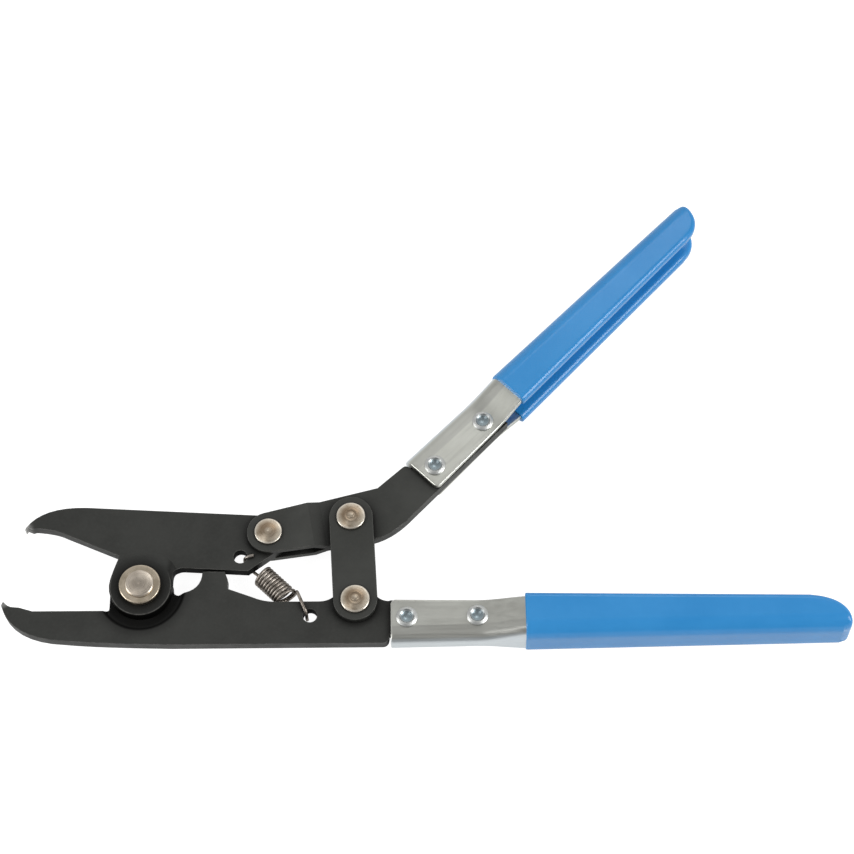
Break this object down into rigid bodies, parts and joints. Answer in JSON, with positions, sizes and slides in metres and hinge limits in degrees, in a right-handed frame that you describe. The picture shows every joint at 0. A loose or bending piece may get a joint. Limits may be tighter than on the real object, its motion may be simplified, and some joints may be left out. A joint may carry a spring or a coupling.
{
  "type": "compound-action pincer pliers",
  "caption": "Open compound-action pliers: narrow hooked pincer jaws on one pivot, a hand lever with links, a return spring and dipped grips on channel handles.",
  "frame": {"origin": "on the main pivot axis, at the flat rear end of the pivot rivet", "axes": "+X from the jaws towards the rear of the lower handle, +Y from the lower handle towards the upper handle, +Z along the pivot axes out of the front face; the jaws are open, as the spring holds them"},
  "size_m": [0.2492, 0.1456, 0.0166],
  "materials": {
    "black_steel": "pressed steel plate with a black oxide finish, worn bright on a few edges",
    "nickel": "turned steel with a warm plated finish and fine turning rings",
    "spring_steel": "bright drawn spring wire",
    "zinc": "zinc-plated pressed steel, satin",
    "rivet_zinc": "zinc-plated tubular rivet, polished inside the rolled end",
    "grip_plastic": "glossy blue dip-moulded plastic"
  },
  "bodies": {
    "lower_body": {"lower_jaw_lever": "black_steel", "lower_handle_channel": "zinc", "lower_grip": "grip_plastic", "lower_rivet_front": "rivet_zinc", "lower_rivet_rear": "rivet_zinc", "main_pivot_rivet": "nickel", "pivot_washer_front": "nickel", "pivot_washer_rear": "nickel", "link_pin_lower": "nickel", "return_spring": "spring_steel"},
    "jaw_body": {"upper_jaw": "black_steel", "jaw_pin": "nickel"},
    "lever_body": {"lever_sheet_front": "black_steel", "lever_sheet_rear": "black_steel", "upper_handle_channel": "zinc", "upper_grip": "grip_plastic", "upper_rivet_front": "rivet_zinc", "upper_rivet_rear": "rivet_zinc"},
    "link_body": {"link_front": "black_steel", "link_rear": "black_steel", "link_pin_upper": "nickel"}
  },
  "joints": [
    {"name": "jaw_pivot", "type": "hinge", "parent": "lower_body", "child": "jaw_body", "pos_m": [0, 0, 0.0065], "axis": [0, 0, 1], "range_deg": [0, 24], "stiffness_Nm_per_rad": 0.2, "deforming": ["return_spring"]},
    {"name": "handle_pivot", "type": "hinge", "parent": "jaw_body", "child": "lever_body", "pos_m": [0.03735, 0.0172, 0.0065], "axis": [0, 0, 1], "range_deg": [-63, 0]},
    {"name": "link_pivot", "type": "hinge", "parent": "lower_body", "child": "link_body", "pos_m": [0.06355, -0.00475, 0.0065], "axis": [0, 0, 1], "range_deg": [0, 25.7]}
  ],
  "couplings": [
    {"joint": "handle_pivot", "follows": "jaw_pivot", "ratio": -2.603},
    {"joint": "link_pivot", "follows": "jaw_pivot", "ratio": 1.065}
  ]
}
